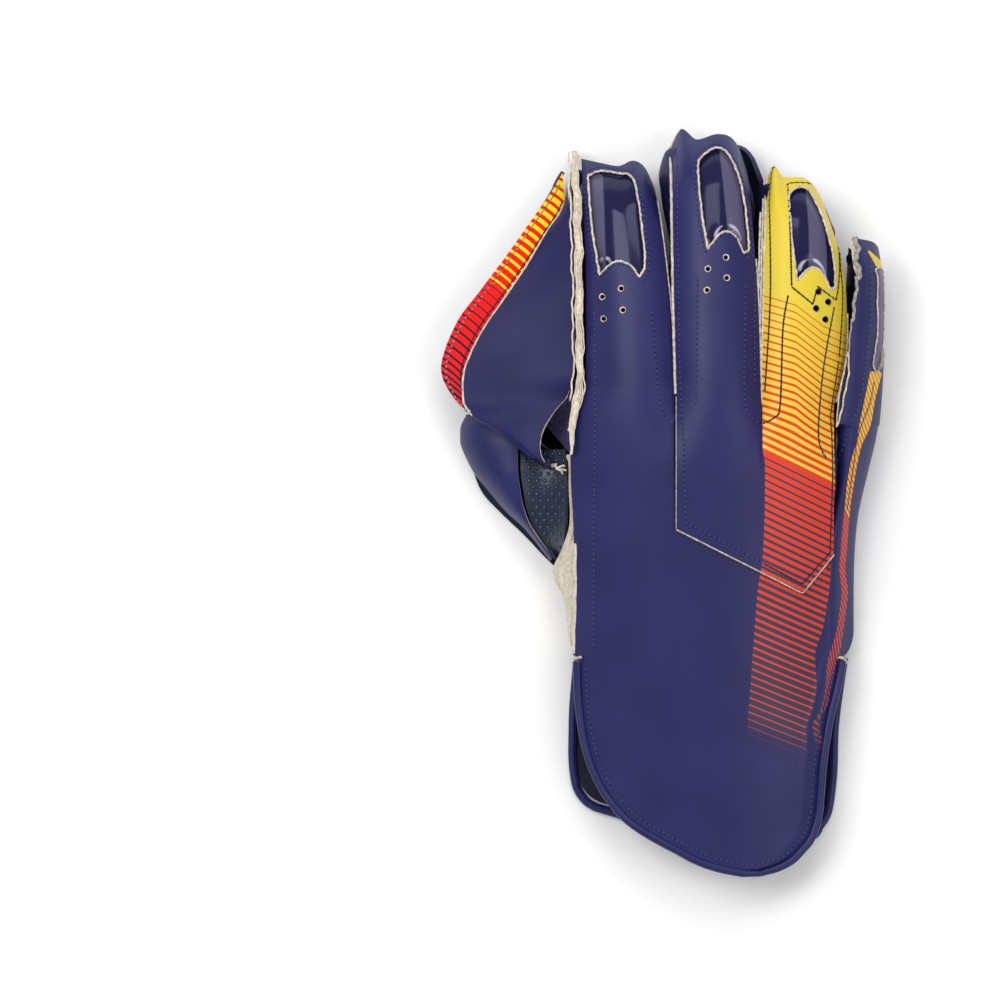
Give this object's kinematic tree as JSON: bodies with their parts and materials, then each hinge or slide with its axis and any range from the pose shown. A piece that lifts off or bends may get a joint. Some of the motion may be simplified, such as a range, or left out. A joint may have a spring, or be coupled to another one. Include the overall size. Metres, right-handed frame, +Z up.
{
  "type": "wicketkeeping glove",
  "caption": "Right-hand wicketkeeping glove lying palm down, with a dimpled rubber palm, a web to the thumb, windowed fingertips and a rolled-edge cuff.",
  "frame": {"origin": "middle of the glove's box, on the surface that it lies on", "axes": "+Y towards the fingertips, +X towards the little-finger side, +Z up out of the back of the hand"},
  "size_m": [0.1912, 0.3232, 0.0563],
  "materials": {
    "navy_leather": "semi-gloss coated leather",
    "printed_leather": "coated leather with a striped print",
    "palm_rubber": "matt rubber with small round pimples",
    "cream_leather": "raw suede and chamois",
    "cap_film": "glossy film over dark backing",
    "mesh_fabric": "coated mesh",
    "dark_lining": "matt black lining"
  },
  "bodies": {
    "root": {"back_main": "navy_leather", "back_overlay": "printed_leather", "cap_index": "cap_film", "cap_middle": "cap_film", "cap_ring": "cap_film", "wall_index": "navy_leather", "wall_middle": "navy_leather", "wall_ring": "navy_leather", "wall_little": "navy_leather", "palm_face": "palm_rubber", "thumb_face": "palm_rubber", "thumb_back": "navy_leather", "mesh_panel": "mesh_fabric", "gusset_thumb_side": "cream_leather", "crotch_chamois": "cream_leather", "crotch_lining": "dark_lining", "web_outer": "navy_leather", "web_trim": "printed_leather", "web_rubber": "palm_rubber", "index_welt": "cream_leather", "cuff_palm": "printed_leather", "cuff_back_piping": "navy_leather", "cuff_palm_piping": "navy_leather"}
  },
  "joints": []
}
